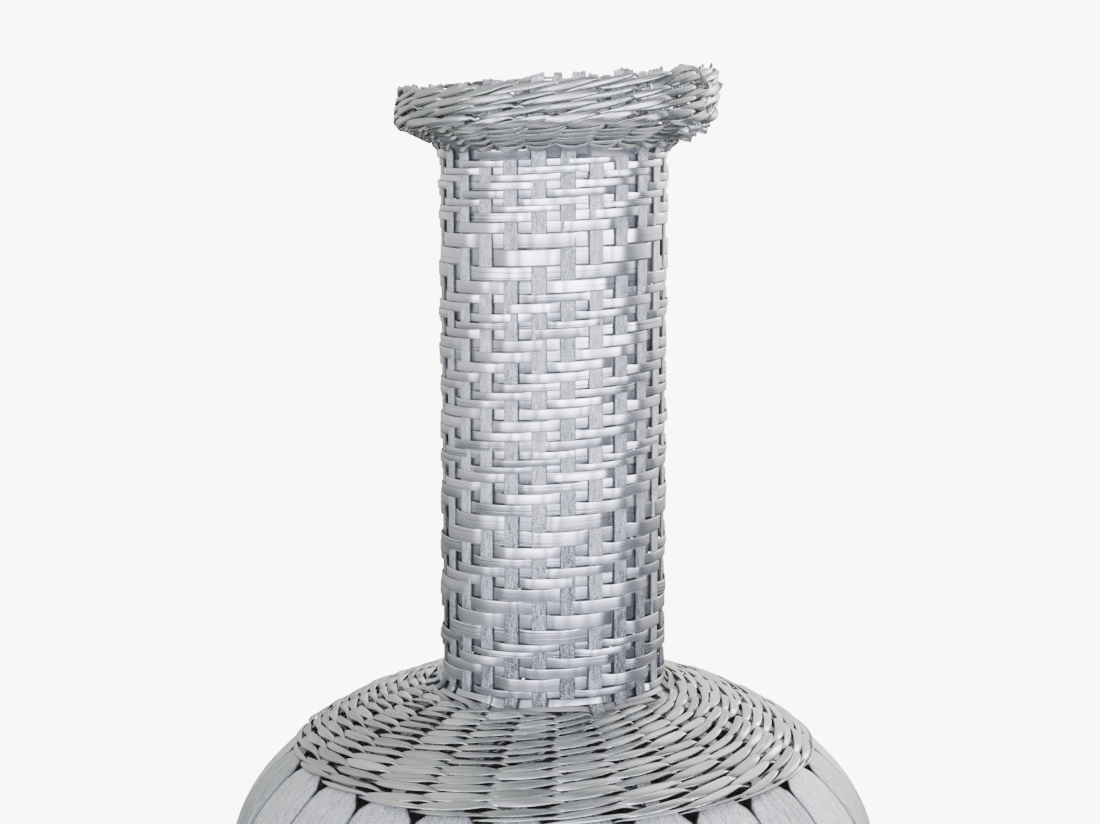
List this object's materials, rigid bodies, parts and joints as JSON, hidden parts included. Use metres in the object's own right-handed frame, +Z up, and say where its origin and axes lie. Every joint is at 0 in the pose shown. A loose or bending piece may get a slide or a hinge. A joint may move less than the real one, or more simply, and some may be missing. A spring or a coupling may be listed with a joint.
{
  "type": "bamboo vase",
  "caption": "Tall silver painted bottle vase of woven bamboo: slatted round belly, twill woven cylindrical neck and a flared twined rim.",
  "frame": {"origin": "middle of the underside, on the surface that the vase stands on", "axes": "+Z up the neck; -Y is the side in the picture; +X is on its right, where the rim stands higher"},
  "size_m": [0.3552, 0.3544, 0.6647],
  "materials": {
    "stakes": "silver paint over split bamboo, satin, with the grain showing",
    "neck_weave": "silver paint over planed bamboo strip, smooth satin with a metallic sheen",
    "rough_weave": "silver paint over soft split strip, matt to satin",
    "foot": "silver paint, matt"
  },
  "bodies": {
    "root": {"stake_01": "stakes", "stake_02": "stakes", "stake_03": "stakes", "stake_04": "stakes", "stake_05": "stakes", "stake_06": "stakes", "stake_07": "stakes", "stake_08": "stakes", "stake_09": "stakes", "stake_10": "stakes", "stake_11": "stakes", "stake_12": "stakes", "stake_13": "stakes", "stake_14": "stakes", "stake_15": "stakes", "stake_16": "stakes", "stake_17": "stakes", "stake_18": "stakes", "stake_19": "stakes", "stake_20": "stakes", "stake_21": "stakes", "stake_22": "stakes", "stake_23": "stakes", "stake_24": "stakes", "stake_25": "stakes", "neck_weaver_1": "neck_weave", "neck_weaver_2": "neck_weave", "neck_weaver_3": "neck_weave", "neck_weaver_4": "neck_weave", "neck_weaver_5": "neck_weave", "neck_weaver_6": "neck_weave", "neck_weaver_7": "neck_weave", "neck_weaver_8": "neck_weave", "shoulder_weaver_1": "rough_weave", "shoulder_weaver_2": "rough_weave", "rim_weaver_1": "rough_weave", "rim_weaver_2": "rough_weave", "foot_weaver": "rough_weave", "foot_hoop": "foot", "base_disc": "foot"}
  },
  "joints": []
}
